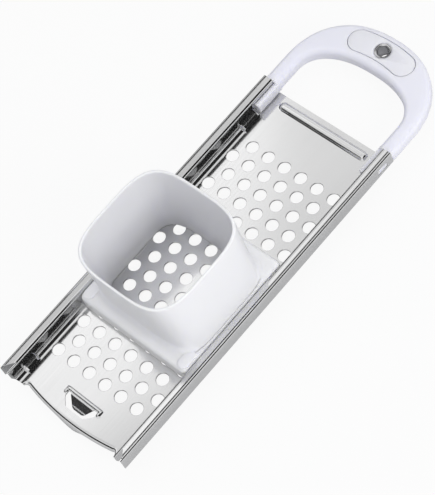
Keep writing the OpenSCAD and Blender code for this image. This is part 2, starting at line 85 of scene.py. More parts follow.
def white_for_view(nodes, links, seen, mirrored):
    """A share for rays from the camera and one for mirrored or refracted rays, else 0."""
    path = nodes.new("ShaderNodeLightPath")

    def larger(first, second):
        node = nodes.new("ShaderNodeMath")
        node.operation = "MAXIMUM"
        links.new(first, node.inputs[0])
        links.new(second, node.inputs[1])
        return node.outputs[0]

    def share(source, size):
        node = nodes.new("ShaderNodeMath")
        node.operation = "MULTIPLY"
        links.new(source, node.inputs[0])
        node.inputs[1].default_value = size
        return node.outputs[0]

    thrown = larger(path.outputs["Is Glossy Ray"], path.outputs["Is Transmission Ray"])
    return larger(share(path.outputs["Is Camera Ray"], seen), share(thrown, mirrored))


# The room lights the tray a little coolly, and is plain white where anyone looks at it.
world = bpy.data.worlds.new("studio")
scene.world = world
world.use_nodes = True
sky = world.node_tree
sky.nodes.clear()
room = sky.nodes.new("ShaderNodeBackground")
room.inputs["Color"].default_value = (0.97, 0.98, 1, 1)
room.inputs["Strength"].default_value = 0.64
white = sky.nodes.new("ShaderNodeBackground")
white.inputs["Color"].default_value = (1, 1, 1, 1)
mix = sky.nodes.new("ShaderNodeMixShader")
sky.links.new(white_for_view(sky.nodes, sky.links, 1, 1), mix.inputs["Fac"])
sky.links.new(room.outputs[0], mix.inputs[1])
sky.links.new(white.outputs[0], mix.inputs[2])
sky.links.new(mix.outputs[0], sky.nodes.new("ShaderNodeOutputWorld").inputs["Surface"])

TABLE_HALF = 4
TABLE_LEVEL = -0.0004
table_mesh = bpy.data.meshes.new("table_top")
table_corners = [(x * TABLE_HALF, y * TABLE_HALF, TABLE_LEVEL)
                 for x, y in ((-1, -1), (1, -1), (1, 1), (-1, 1))]
table_mesh.from_pydata(table_corners, [], [(0, 1, 2, 3)])
table = bpy.data.objects.new("table_top", table_mesh)
scene.collection.objects.link(table)
table_finish = bpy.data.materials.new("pale_table")
table_finish.use_nodes = True
nodes, links = table_finish.node_tree.nodes, table_finish.node_tree.links
nodes.clear()
paper = nodes.new("ShaderNodeBsdfDiffuse")
paper.inputs["Color"].default_value = (0.68, 0.68, 0.68, 1)
glow = nodes.new("ShaderNodeEmission")
glow.inputs["Strength"].default_value = 1
blend = nodes.new("ShaderNodeMixShader")
links.new(white_for_view(nodes, links, 0.92, 0.04), blend.inputs["Fac"])
links.new(paper.outputs[0], blend.inputs[1])
links.new(glow.outputs[0], blend.inputs[2])
links.new(blend.outputs[0], nodes.new("ShaderNodeOutputMaterial").inputs["Surface"])
table_mesh.materials.append(table_finish)


def card(name, bearing, rise, width, height, grey, fade, away=1.9):
    """A sheet that only mirrored rays see, which fades out at its edges.

    Its bearing, rise, width, height and fade are in degrees, and away is in metres.
    """
    turn, lift = math.radians(bearing), math.radians(rise)
    level = math.cos(lift)
    middle = Vector((level * math.cos(turn), level * math.sin(turn), math.sin(lift))) * away
    half_w = away * math.tan(math.radians(width / 2))
    half_h = away * math.tan(math.radians(height / 2))
    across = Vector((-math.sin(turn), math.cos(turn), 0))
    up = middle.cross(across).normalized()
    mesh = bpy.data.meshes.new(name)
    corners = [middle + across * half_w * u + up * half_h * v
               for u, v in ((-1, -1), (1, -1), (1, 1), (-1, 1))]
    mesh.from_pydata(corners, [], [(0, 1, 2, 3)])
    mesh.uv_layers.new(name="sheet")
    mesh.uv_layers["sheet"].data.foreach_set("uv", [-1, -1, 1, -1, 1, 1, -1, 1])
    finish = bpy.data.materials.new(name)
    finish.use_nodes = True
    nodes, links = finish.node_tree.nodes, finish.node_tree.links
    nodes.clear()
    edge_of = nodes.new("ShaderNodeSeparateXYZ")
    place = nodes.new("ShaderNodeUVMap")
    place.uv_map = "sheet"
    links.new(place.outputs[0], edge_of.inputs[0])
    cover = None
    for axis, size in (("X", width), ("Y", height)):
        off = nodes.new("ShaderNodeMath")
        off.operation = "ABSOLUTE"
        links.new(edge_of.outputs[axis], off.inputs[0])
        soft_edge = nodes.new("ShaderNodeMapRange")
        soft_edge.interpolation_type = "SMOOTHSTEP"
        soft_edge.inputs["From Min"].default_value = 1
        soft_edge.inputs["From Max"].default_value = 1 - 2 * fade / size
        links.new(off.outputs[0], soft_edge.inputs["Value"])
        if cover is None:
            cover = soft_edge.outputs[0]
        else:
            both = nodes.new("ShaderNodeMath")
            both.operation = "MULTIPLY"
            links.new(cover, both.inputs[0])
            links.new(soft_edge.outputs[0], both.inputs[1])
            cover = both.outputs[0]
    tone = nodes.new("ShaderNodeEmission")
    tone.inputs["Strength"].default_value = grey
    clear = nodes.new("ShaderNodeBsdfTransparent")
    blend = nodes.new("ShaderNodeMixShader")
    links.new(cover, blend.inputs["Fac"])
    links.new(clear.outputs[0], blend.inputs[1])
    links.new(tone.outputs[0], blend.inputs[2])
    links.new(blend.outputs[0], nodes.new("ShaderNodeOutputMaterial").inputs["Surface"])
    mesh.materials.append(finish)
    sheet = bpy.data.objects.new(name, mesh)
    sheet.visible_camera = False
    sheet.visible_diffuse = False
    sheet.visible_shadow = False
    sheet.visible_transmission = False
    scene.collection.objects.link(sheet)


# Name, bearing, rise, width, height, brightness, width of the fade.
card("right_card", 20, 47, 100, 60, 0.02, 6)
card("front_card", 236, 30, 70, 40, 0.05, 8)
card("left_card", 165, 14, 84, 34, 0.03, 6)
card("side_card", 165, 42, 60, 20, 0.75, 3)
card("ceiling_card", 165, 70.5, 60, 21, 0.72, 5.2)
card("rear_card", 110, 57, 43.4, 50, 0.86, 2.2)
card("bright_card", 165, 57, 60, 40, 1.22, 5, 2.1)

# ---------- Steel tray ----------
# One sheet of stainless steel, 0.8 mm thick. It is punched with rows of round holes,
# folded up and over into a rail on both sides, and rolled down along its front edge, with
# a tongue in the middle. Stops, a stiffening bead and a pot hook are pressed into it.
# Sizes are in millimetres, from the tray's front end and over its plate.
TRAY_LENGTH = 238.8
TRAY_MIDDLE = 151.95
SHEET = 0.8
BEND_X = 39.4
BEND_R = 4.0
BEND_STEPS = 14
WALL_X = 43.4
RAIL_TOP = 12.0
RAIL_X = 50.3
FOLD_R = 1.4
INNER_FOLD_R = 2.3
WALL_SLACK = 0.2
SKIRT_LOW = 2.5
LIP_HALF = 38.6
LIP_ROLL = 2.7
CORNER_ROLL = 1.1
LIP_SKIRT = 3.0
LIP_CORNER = 3.9
LIP_BOW = 170.0
CORNER_STEPS = 15
BEND_CUT = 2.2
CORNER_Y = 2.4
TONGUE_DEPTH = 10.6
TONGUE_HALF = 14.0
FAN_END = 8.6
BEAD_Y, BEAD_HALF, BEAD_WIDTH, BEAD_HEIGHT = 232.2, 31.5, 6, 2
RIDGE_Y, RIDGE_HALF, RIDGE_WIDTH, RIDGE_HEIGHT = 17, 13.2, 2.6, 1.0
RETURN_END, RETURN_WIDTH, RETURN_HEIGHT = 14.4, 2.4, 0.8
STOP_ENDS = ((11.6, 17.9), (207.6, 217.4))
STOP_R = 2.6
STOP_SINK = 0.6


def to_metres(points):
    """From millimetres along the tray from its front end, over the plate, to the frame."""
    points = np.asarray(points, float).reshape(-1, 3)
    return (points + (0, -TRAY_MIDDLE, TONGUE_DEPTH)) / 1000


def add_piece(name, points, faces):
    mesh = bpy.data.meshes.new(name)
    mesh.from_pydata(to_metres(points).tolist(), [], faces)
    mesh.validate()
    obj = bpy.data.objects.new(name, mesh)
    scene.collection.objects.link(obj)
    return obj


def smooth_faces(obj, angle):
    """Smooth shading that stays sharp over edges above this angle."""
    obj.data.polygons.foreach_set("use_smooth", [True] * len(obj.data.polygons))
    obj.data.set_sharp_from_angle(angle=math.radians(angle))


def bake(obj, name):
    """The piece as its modifiers leave it, as one plain mesh."""
    bpy.context.view_layer.update()
    mesh = bpy.data.meshes.new_from_object(obj.evaluated_get(bpy.context.evaluated_depsgraph_get()))
    plain = bpy.data.objects.new(name, mesh)
    scene.collection.objects.link(plain)
    old = obj.data
    bpy.data.objects.remove(obj)
    if old.users == 0:
        bpy.data.meshes.remove(old)
    mesh.name = name
    return plain


def arc(cx, cy, r, start, end, steps):
    return [(cx + r * math.cos(math.radians(a)), cy + r * math.sin(math.radians(a)))
            for a in np.linspace(start, end, steps + 1)]


# The front edge in plan, from left to right, with the way that the sheet rolls there.
corner_x = LIP_HALF - LIP_CORNER
half_angle = math.asin(corner_x / (LIP_BOW + LIP_CORNER))
axis_y = CORNER_Y + (LIP_BOW + LIP_CORNER) * math.cos(half_angle)
edge = [(-LIP_HALF, BEND_CUT, 1.0, 0.0, 0.0)]
corner_turns = np.linspace(math.pi, math.pi / 2 - half_angle, CORNER_STEPS)
for share, a in zip(np.linspace(0, 1, CORNER_STEPS)[:-1], corner_turns):
    x, y = LIP_CORNER * math.cos(a) - corner_x, LIP_CORNER * math.sin(a) + CORNER_Y
    edge.append((x, y, -math.cos(a), -math.sin(a), share))
for a in np.linspace(-half_angle, half_angle, 97):
    edge.append((LIP_BOW * math.sin(a), axis_y - LIP_BOW * math.cos(a), math.sin(a), -math.cos(a), 1.0))
edge += [(-x, y, -wx, wy, share) for x, y, wx, wy, share in reversed(edge[:CORNER_STEPS])]
edge = np.array(edge)

# Half of the folded section beside the plate, from the bend to the skirt's lower edge.
wall_top = RAIL_TOP - INNER_FOLD_R - WALL_SLACK
section = arc(BEND_X, BEND_R, BEND_R, -90, 0, BEND_STEPS)
section += [(WALL_X, z) for z in np.linspace(BEND_R, wall_top, 8)[1:-1]]
section += arc(WALL_X + INNER_FOLD_R, wall_top, INNER_FOLD_R, 180, 95, 9)
flange = [(46.6, 0.14), (47.3, 0.07), (47.95, 0.01)]
groove = [(48.2, 0.12), (48.45, 0.24), (48.7, 0.12)]
section += [(x, RAIL_TOP - sunk) for x, sunk in flange + groove]
section += arc(RAIL_X - FOLD_R, RAIL_TOP - FOLD_R, FOLD_R, 90, 0, 7)
section += [(RAIL_X, z) for z in np.linspace(RAIL_TOP - FOLD_R, SKIRT_LOW, 6)[1:]]
section = np.array(section)

# Where the sheet's points stand along the tray: close together over the pressed forms.
rows = np.unique(np.round(np.concatenate([
    np.linspace(FAN_END, 21, 50), np.linspace(21, 204.6, 27), np.linspace(204.6, 209.5, 16),
    np.linspace(209.5, 215, 3), np.linspace(215, 220.5, 16), np.linspace(220.5, 227, 4),
    np.linspace(227, 237, 26), [TRAY_LENGTH],
]), 4))
near_rows = np.linspace(0, 1, 9)[:-1]


def lens(distance, width, height):
    """Height of a pressed bead at this distance from its middle line."""
    r = (width * width / 4 + height * height) / (2 * height)
    rise = np.sqrt(np.maximum(r * r - distance ** 2, 0)) - (r - height)
    return np.where(rise > 0, rise, 0) * (distance < width / 2)


def distance_to_line(x, y, ax, ay, bx, by):
    reach = (bx - ax) ** 2 + (by - ay) ** 2
    t = np.clip(((x - ax) * (bx - ax) + (y - ay) * (by - ay)) / reach, 0, 1)
    return np.hypot(x - ax - t * (bx - ax), y - ay - t * (by - ay))


def soften(rise, fillet=0.22):
    """Rounds the foot of a pressed form a little."""
    return np.where(rise > 0, np.sqrt(rise ** 2 + fillet ** 2) - fillet, 0)


def pressed_height(x, y):
    """The stiffening bead near the rear edge, and the ridge that frames the pot hook."""
    off = distance_to_line(x, y, -BEAD_HALF, BEAD_Y, BEAD_HALF, BEAD_Y)
    height = lens(off, BEAD_WIDTH, BEAD_HEIGHT)
    off = distance_to_line(x, y, -RIDGE_HALF, RIDGE_Y, RIDGE_HALF, RIDGE_Y)
    height = np.maximum(height, lens(off, RIDGE_WIDTH, RIDGE_HEIGHT))
    for end in (-RIDGE_HALF, RIDGE_HALF):
        off = distance_to_line(x, y, end, RIDGE_Y, end, RETURN_END)
        height = np.maximum(height, lens(off, RETURN_WIDTH, RETURN_HEIGHT))
    return soften(height)


def stop_height(angle, y):
    """Height of the four pressed stops over the bend, towards the bend's middle."""
    sink = BEND_R - STOP_SINK
    best = np.zeros_like(y)
    for low, high in STOP_ENDS:
        off = np.clip(y, low, high) - y
        reach = STOP_R ** 2 - off ** 2
        across = sink * math.sin(abs(math.radians(angle + 45)))
        along = sink * math.cos(math.radians(angle + 45))
        rest = np.maximum(reach - across ** 2, 0)
        rise = np.where(reach > across ** 2, BEND_R - along + np.sqrt(rest), 0)
        best = np.maximum(best, rise)
    return soften(best, 0.5)


faces = []
plate_columns = len(edge)
spread_x = np.linspace(-LIP_HALF, LIP_HALF, plate_columns)
bend_angles = [-90 + 90 / BEND_STEPS * i for i in range(BEND_STEPS + 1)]


def side_column(side, index):
    """One line of points along the rail; those of the bend carry the pressed stops."""
    x, z = section[index]
    start = BEND_CUT * max(1 - z / (BEND_R + SHEET), 0) if index <= BEND_STEPS + 1 else 0.0
    ys = np.concatenate([start + near_rows * (FAN_END - start), rows])
    if index > BEND_STEPS:
        return np.column_stack([np.full_like(ys, side * x), ys, np.full_like(ys, z)])
    angle = bend_angles[index]
    rise = stop_height(angle, ys) if -80 < angle < 0 else np.zeros_like(ys)
    turn = math.radians(angle)
    return np.column_stack([side * (x - math.cos(turn) * rise), ys, z - math.sin(turn) * rise])


columns = [side_column(-1, i) for i in range(len(section) - 1, -1, -1)]
for k in range(plate_columns):
    ex, ey = edge[k, :2]
    near = [(ex + (spread_x[k] - ex) * u, ey + (FAN_END - ey) * u) for u in near_rows]
    flat = np.array(near + [(spread_x[k], y) for y in rows])
    columns.append(np.column_stack([flat, pressed_height(flat[:, 0], flat[:, 1])]))
columns += [side_column(1, i) for i in range(len(section))]
count = len(columns[0])
points = np.concatenate(columns)
for c in range(len(columns) - 1):
    for r in range(count - 1):
        a = c * count + r
        faces.append((a, a + count, a + count + 1, a + 1))

# The roll along the front edge, the short skirt under it, and the tongue in its middle.
first = len(section) * count
roll = arc(0, -LIP_ROLL, LIP_ROLL, 90, 0, 10)[1:]
last_ring = [first + k * count for k in range(plate_columns)]
total = len(points)
extra = []
swell = np.clip(np.abs(edge[:, 0]) / TONGUE_HALF, 0, 1)
full_depth = LIP_SKIRT + (TONGUE_DEPTH - LIP_SKIRT) * (1 + np.cos(np.pi * swell)) / 2
full = edge[:, 4]
roll_r = CORNER_ROLL + (LIP_ROLL - CORNER_ROLL) * full
corner_depth = roll_r + LIP_SKIRT - LIP_ROLL
depth = corner_depth + (full_depth - corner_depth) * full
lip_steps = [(reach, drop, None) for reach, drop in roll]
lip_steps += [(LIP_ROLL, 0, share) for share in np.linspace(0, 1, 7)[1:]]
for reach, drop, share in lip_steps:
    ring = []
    for k in range(plate_columns):
        scale = roll_r[k] / LIP_ROLL
        low = drop * scale if share is None else -roll_r[k] - (depth[k] - roll_r[k]) * share
        out = reach * scale
        extra.append((edge[k, 0] + edge[k, 2] * out, edge[k, 1] + edge[k, 3] * out, low))
        ring.append(total)
        total += 1
    for k in range(plate_columns - 1):
        faces.append((last_ring[k], ring[k], ring[k + 1], last_ring[k + 1]))
    last_ring = ring
sheet = add_piece("tray_sheet", np.concatenate([points, extra]), faces)

solidify = sheet.modifiers.new("thickness", "SOLIDIFY")
solidify.thickness = SHEET / 1000
solidify.offset = -1
solidify.use_even_offset = True
solidify.use_rim = True

# Cuts in the sheet: the pot hook's opening, the slanted front ends of the flanges and the
# snap windows of the handle.
cutters = bmesh.new()


def add_prism(outline, low, high, upright=True):
    """A closed prism over an outline in millimetres; upright ones stand on the plate."""
    turn = sum(a[0] * b[1] - b[0] * a[1] for a, b in zip(outline, outline[1:] + outline[:1]))
    outline = outline if turn > 0 else outline[::-1]
    if upright:
        rings = [[(x, y, z) for x, y in outline] for z in (low, high)]
    else:
        rings = [[(x, y, z) for y, z in outline] for x in (low, high)]
    lower, upper = [[cutters.verts.new(to_metres(p)[0]) for p in ring] for ring in rings]
    cutters.faces.new(lower[::-1])
    cutters.faces.new(upper)
    for i in range(len(lower)):
        j = (i + 1) % len(lower)
        cutters.faces.new((lower[i], lower[j], upper[j], upper[i]))


HOOK_REAR = 15.5
hook_outline = [(-12, HOOK_REAR), (-12, 13.2), (-11.8, 12.2), (-11.2, 11.3)]
hook_outline += [(-8.0, 8.2), (-7.2, 7.5), (-6.2, 7.2)]
hook_outline += [(-x, y) for x, y in reversed(hook_outline)]
flange_cut = [(44.15, -1), (44.15, 8.4), (49.55, 2), (49.55, -1)]
window_outline = [(226, 4.45), (234, 4.45), (234, 8.45), (226, 8.45)]
add_prism(hook_outline, -3, 3)
for side in (-1, 1):
    add_prism([(side * x, y) for x, y in flange_cut], 10.7, 14)
    add_prism(window_outline, side * 50 - 1.2, side * 50 + 1.2, upright=False)
cutter_mesh = bpy.data.meshes.new("sheet_cutters")
cutters.to_mesh(cutter_mesh)
cutters.free()
cutter = bpy.data.objects.new("sheet_cutters", cutter_mesh)
scene.collection.objects.link(cutter)
cut = sheet.modifiers.new("openings", "BOOLEAN")
cut.operation = "DIFFERENCE"
cut.solver = "MANIFOLD"
cut.object = cutter

# The round holes stand in rows, each shifted by half a step, so every hole has six
# neighbours. The punch leaves a slightly rounded edge on the upper side.
punch = bpy.data.node_groups.new("punched_holes", "GeometryNodeTree")
punch.is_modifier = True
for kind, names in (
    ("NodeSocketGeometry", ("Sheet",)),
    ("NodeSocketInt", ("Rows", "Holes in a Row")),
    ("NodeSocketFloat", ("Hole Step", "Row Step", "First Row", "Hole Radius", "Edge Rounding",
                         "Sheet Thickness", "Plate Height")),
    ("NodeSocketMaterial", ("Steel",)),
):
    for name in names:
        punch.interface.new_socket(name=name, in_out="INPUT", socket_type=kind)
punch.interface.new_socket(name="Punched Sheet", in_out="OUTPUT", socket_type="NodeSocketGeometry")
p_nodes, p_links = punch.nodes, punch.links
given = p_nodes.new("NodeGroupInput").outputs


def calc(operation, a, b=None, c=None):
    node = p_nodes.new("ShaderNodeMath")
    node.operation = operation
    for i, value in enumerate((a, b, c)):
        if value is None:
            continue
        if isinstance(value, (int, float)):
            node.inputs[i].default_value = value
        else:
            p_links.new(value, node.inputs[i])
    return node.outputs[0]


def combine(x, y, z):
    node = p_nodes.new("ShaderNodeCombineXYZ")
    for i, value in enumerate((x, y, z)):
        if isinstance(value, (int, float)):
            node.inputs[i].default_value = value
        else:
            p_links.new(value, node.inputs[i])
    return node.outputs[0]


index = p_nodes.new("GeometryNodeInputIndex").outputs[0]
row = calc("FLOOR", calc("DIVIDE", calc("ADD", index, 0.5), given["Holes in a Row"]))
column = calc("SUBTRACT", index, calc("MULTIPLY", row, given["Holes in a Row"]))
shift = calc("SUBTRACT", calc("MULTIPLY", calc("MODULO", row, 2), 0.5), 0.25)
middle = calc("DIVIDE", calc("SUBTRACT", given["Holes in a Row"], 1), 2)
hole_x = calc("MULTIPLY", calc("ADD", calc("SUBTRACT", column, middle), shift), given["Hole Step"])
hole_y = calc("MULTIPLY_ADD", row, given["Row Step"], given["First Row"])
hole_z = calc("SUBTRACT", given["Plate Height"], calc("DIVIDE", given["Sheet Thickness"], 2))
centres = p_nodes.new("GeometryNodePoints")
p_links.new(calc("MULTIPLY", given["Rows"], given["Holes in a Row"]), centres.inputs["Count"])
p_links.new(combine(hole_x, hole_y, hole_z), centres.inputs["Position"])

rod = p_nodes.new("GeometryNodeMeshCylinder")
rod.inputs["Vertices"].default_value = 40
rod.inputs["Side Segments"].default_value = 8
p_links.new(given["Hole Radius"], rod.inputs["Radius"])
p_links.new(calc("MULTIPLY", given["Sheet Thickness"], 1.5), rod.inputs["Depth"])
place = p_nodes.new("GeometryNodeInputPosition").outputs[0]
split = p_nodes.new("ShaderNodeSeparateXYZ")
p_links.new(place, split.inputs[0])
rounding_start = calc("SUBTRACT", calc("DIVIDE", given["Sheet Thickness"], 2), given["Edge Rounding"])
above = calc("DIVIDE", calc("SUBTRACT", split.outputs["Z"], rounding_start), given["Edge Rounding"])
flare = calc("POWER", calc("MAXIMUM", calc("MINIMUM", above, 1.2), 0), 2)
wider = calc("ADD", calc("DIVIDE", calc("MULTIPLY", flare, given["Edge Rounding"]), given["Hole Radius"]), 1)
flared = p_nodes.new("GeometryNodeSetPosition")
p_links.new(rod.outputs["Mesh"], flared.inputs["Geometry"])
flared_x = calc("MULTIPLY", split.outputs["X"], wider)
flared_y = calc("MULTIPLY", split.outputs["Y"], wider)
p_links.new(combine(flared_x, flared_y, split.outputs["Z"]), flared.inputs["Position"])

punches = p_nodes.new("GeometryNodeInstanceOnPoints")
p_links.new(centres.outputs[0], punches.inputs["Points"])
p_links.new(flared.outputs[0], punches.inputs["Instance"])
struck = p_nodes.new("GeometryNodeMeshBoolean")
struck.operation = "DIFFERENCE"
struck.solver = "MANIFOLD"
p_links.new(given["Sheet"], struck.inputs["Mesh 1"])
p_links.new(punches.outputs[0], struck.inputs["Mesh 2"])
real = p_nodes.new("GeometryNodeRealizeInstances")
p_links.new(struck.outputs["Mesh"], real.inputs[0])
dressed = p_nodes.new("GeometryNodeSetMaterial")
p_links.new(real.outputs[0], dressed.inputs["Geometry"])
p_links.new(given["Steel"], dressed.inputs["Material"])
p_links.new(dressed.outputs[0], p_nodes.new("NodeGroupOutput").inputs["Punched Sheet"])

# Bright rolled stainless steel: fine lines along the tray, a faint waviness of the thin
# sheet, and a slightly duller bloom here and there.
steel = bpy.data.materials.new("sheet_steel")
steel.use_nodes = True
nodes, links = steel.node_tree.nodes, steel.node_tree.links
metal = nodes["Principled BSDF"]
metal.inputs["Metallic"].default_value = 1


def texture(nodes, links, kind, scale, stretch=(1, 1, 1), **values):
    """A noise or wave texture on Object coordinates, stretched by the mapping."""
    coords = nodes.new("ShaderNodeTexCoord")
    mapping = nodes.new("ShaderNodeMapping")
    mapping.inputs["Scale"].default_value = stretch
    links.new(coords.outputs["Object"], mapping.inputs["Vector"])
    node = nodes.new(kind)
    node.inputs["Scale"].default_value = scale
    for name, value in values.items():
        node.inputs[name].default_value = value
    links.new(mapping.outputs[0], node.inputs["Vector"])
    return node.outputs["Fac"] if "Fac" in node.outputs else node.outputs[0]


def ramp(nodes, links, source, stops):
    node = nodes.new("ShaderNodeValToRGB")
    elements = node.color_ramp.elements
    while len(elements) < len(stops):
        elements.new(0.5)
    for element, (place, colour) in zip(elements, stops):
        element.position = place
        element.color = (*colour, 1)
    links.new(source, node.inputs["Fac"])
    return node.outputs["Color"]


def spread(nodes, links, source, low, high, start=0.3, end=0.7):
    node = nodes.new("ShaderNodeMapRange")
    node.inputs["From Min"].default_value = start
    node.inputs["From Max"].default_value = end
    node.inputs["To Min"].default_value = low
    node.inputs["To Max"].default_value = high
    links.new(source, node.inputs["Value"])
    return node.outputs[0]


def bump(nodes, links, source, height, strength, under=None):
    node = nodes.new("ShaderNodeBump")
    node.inputs["Distance"].default_value = height
    node.inputs["Strength"].default_value = strength
    links.new(source, node.inputs["Height"])
    if under is not None:
        links.new(under, node.inputs["Normal"])
    return node.outputs[0]


lines = texture(nodes, links, "ShaderNodeTexNoise", 1, (1400, 9, 1400), Detail=4)
clouds = texture(nodes, links, "ShaderNodeTexNoise", 22, (1, 0.5, 1), Detail=3)
waves = texture(nodes, links, "ShaderNodeTexNoise", 14, (1, 0.6, 1), Detail=1)
steel_tones = [(0.3, (0.7, 0.7, 0.703)), (0.7, (0.75, 0.75, 0.752))]
links.new(ramp(nodes, links, clouds, steel_tones), metal.inputs["Base Color"])
links.new(spread(nodes, links, lines, 0.09, 0.17), metal.inputs["Roughness"])
soft = bump(nodes, links, waves, 0.0004, 0.2)
links.new(bump(nodes, links, lines, 0.00002, 0.25, soft), metal.inputs["Normal"])

holes = sheet.modifiers.new("holes", "NODES")
holes.node_group = punch
sockets = {item.name: item.identifier for item in punch.interface.items_tree if item.in_out == "INPUT"}
HOLE_STEP = 13.0
FIRST_ROW = 31
hole_values = {
    "Rows": 16, "Holes in a Row": 6, "Hole Step": HOLE_STEP / 1000,
    "Row Step": HOLE_STEP / 1000 * math.sin(math.pi / 3), "First Row": (FIRST_ROW - TRAY_MIDDLE) / 1000,
    "Hole Radius": 0.004, "Edge Rounding": 0.0002, "Sheet Thickness": SHEET / 1000,
    "Plate Height": TONGUE_DEPTH / 1000, "Steel": steel,
}
for name, value in hole_values.items():
    holes[sockets[name]] = value
sheet.data.materials.append(steel)
cutter_mesh.materials.append(steel)
tray = bake(sheet, "steel_tray")
bpy.data.objects.remove(cutter)

# The tab that is cut free on three sides and bent down, to hook over a pot's rim.
TAB_BEND, TAB_BEND_R, TAB_RUN = 34, 1.5, 6.3
TAB_ROOT_HALF, TAB_END_HALF, TAB_CORNER = 9.5, 4.25, 1.2
TAB_POINTS = 9
tab_line = [(HOOK_REAR, 0.0)]
for a in np.radians(np.linspace(0, TAB_BEND, 7))[1:]:
    tab_line.append((HOOK_REAR - TAB_BEND_R * math.sin(a), TAB_BEND_R * (math.cos(a) - 1)))
bend_y, bend_z = tab_line[-1]
slope = math.radians(TAB_BEND)
for run in np.linspace(0, TAB_RUN, 13)[1:]:
    tab_line.append((bend_y - run * math.cos(slope), bend_z - run * math.sin(slope)))
tab_length = np.concatenate([[0], np.cumsum(np.hypot(*np.diff(np.array(tab_line), axis=0).T))])
points, faces = [], []
for (y, z), run in zip(tab_line, tab_length):
    half = TAB_ROOT_HALF - (TAB_ROOT_HALF - TAB_END_HALF) * run / tab_length[-1]
    past = max(run - tab_length[-1] + TAB_CORNER, 0)
    half -= TAB_CORNER - math.sqrt(max(TAB_CORNER ** 2 - past ** 2, 0))
    points += [(half * u, y, z) for u in np.linspace(-1, 1, TAB_POINTS)]
for i in range(len(tab_line) - 1):
    for a in range(i * TAB_POINTS, (i + 1) * TAB_POINTS - 1):
        faces.append((a, a + TAB_POINTS, a + TAB_POINTS + 1, a + 1))
tab = add_piece("hook_tab", points, faces)
tab.data.materials.append(steel)
thick = tab.modifiers.new("thickness", "SOLIDIFY")
thick.thickness = SHEET / 1000
thick.offset = 1
tab = bake(tab, "hook_tab")


def join(whole, *parts):
    """Puts the parts' meshes into the first object."""
    mesh = bmesh.new()
    for part in (whole, *parts):
        mesh.from_mesh(part.data)
    mesh.to_mesh(whole.data)
    mesh.free()
    for part in parts:
        bpy.data.meshes.remove(part.data)


join(tray, tab)
smooth_faces(tray, 24)
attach(tray, "tray_body")
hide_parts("tray")

# ---------- Hopper ----------
# One moulding of white plastic: a square cup, open above and below, on a sled that runs
# between the rails. The cup runs out into the sled with a fillet, and the sled's skin is
# hollow underneath in front of the cup and behind it.
HOPPER_Y = 104.3
SLED_HALF = 42.9
SLED_LENGTH = 86.0
SLED_TOP = 11.2
SLED_CORNER = 3
SIDE_ROUND = 1.5
END_ROUND = 2.4
SKIN = 2.2
CUP_TOP = 61.2
CUP_WALL = 2.3
RIM_THIN = 0.6
FILLET = 5.0
SIDE_FLARE = 0.105
FOOT_GROW = 1.35
SEAT = 0.2
# The chamber's half width, half length and squareness, at its foot and at the rim.
CHAMBER_FOOT = (40.0, 31.7, 5.0)
CHAMBER_RIM = (36.9, 36.0, 3.8)

# The steps round a ring are closer together at its corners.
turns = np.linspace(0, 2 * math.pi, 193)[:-1]
turns = turns + 0.15 * np.sin(4 * turns)


def cup_ring(z, grow_x, grow_y):
    """The chamber's squarish outline at this height, grown outwards."""
    pairs = zip(CHAMBER_FOOT, CHAMBER_RIM)
    half_w, half_l, square = [low + (high - low) * z / CUP_TOP for low, high in pairs]
    c, s = np.cos(turns), np.sin(turns)
    reach = (np.abs(c) ** square + np.abs(s) ** square) ** (-1 / square)
    x, y = (half_w + grow_x) * reach * c, (half_l + grow_y) * reach * s
    return np.column_stack([x, y, np.full_like(turns, z)])


def sled_ring(z, half_w, half_l, r):
    """A rectangle with round corners, sampled the same way round."""
    q = np.column_stack([np.cos(turns), np.sin(turns)])
    q = q / np.abs(q).max(1)[:, None] * (half_w, half_l)
    core = np.clip(q, (-half_w + r, -half_l + r), (half_w - r, half_l - r))
    off = q - core
    length = np.hypot(*off.T)
    corner = (np.abs(off) > 1e-9).all(1)
    q[corner] = core[corner] + off[corner] / length[corner, None] * r
    return np.column_stack([q, np.full(len(q), z)])


def ring_faces(rings, closed):
    n = len(rings[0])
    found = []
    for i in range(len(rings) if closed else len(rings) - 1):
        k = (i + 1) % len(rings)
        for j in range(n):
            m = (j + 1) % n
            found.append((i * n + j, i * n + m, k * n + m, k * n + j))
    return found


def add_loft(name, rings, closed=False):
    """A skin over rings that run counterclockwise, from the lowest up, with flat ends."""
    n = len(rings[0])
    found = ring_faces(rings, closed)
    if not closed:
        found += [tuple(range(n - 1, -1, -1)), tuple((len(rings) - 1) * n + j for j in range(n))]
    obj = add_piece(name, np.concatenate([np.array(ring, float) for ring in rings]), found)
    mesh = bmesh.new()
    mesh.from_mesh(obj.data)
    if mesh.calc_volume(signed=True) < 0:
        obj.data.flip_normals()
    mesh.free()
    return obj


rim_r = (CUP_WALL - RIM_THIN) / 2
rim_z = CUP_TOP - rim_r
sled_end = SLED_LENGTH / 2
edge_z = SLED_TOP - END_ROUND
# Up the outside of the sled, over its rounded edge, and in to the foot of the cup.
rings = [sled_ring(SEAT, SLED_HALF, sled_end, SLED_CORNER)]
rings += [sled_ring(z, SLED_HALF, sled_end, SLED_CORNER) for z in np.linspace(0.6, edge_z, 14)]
for a in np.radians(np.linspace(0, 90, 9)):
    z = edge_z + END_ROUND * math.sin(a)
    past = max(z - (SLED_TOP - SIDE_ROUND), 0)
    pull_x = SIDE_ROUND - math.sqrt(max(SIDE_ROUND ** 2 - past ** 2, 0))
    pull_y = END_ROUND * (1 - math.cos(a))
    rings.append(sled_ring(z, SLED_HALF - pull_x, sled_end - pull_y, SLED_CORNER - 0.9 * (1 - math.cos(a))))
start = rings[-1]
foot = cup_ring(SLED_TOP, FOOT_GROW, CUP_WALL + FILLET)
rings += [start + (foot - start) * u for u in (0.35, 0.7)]
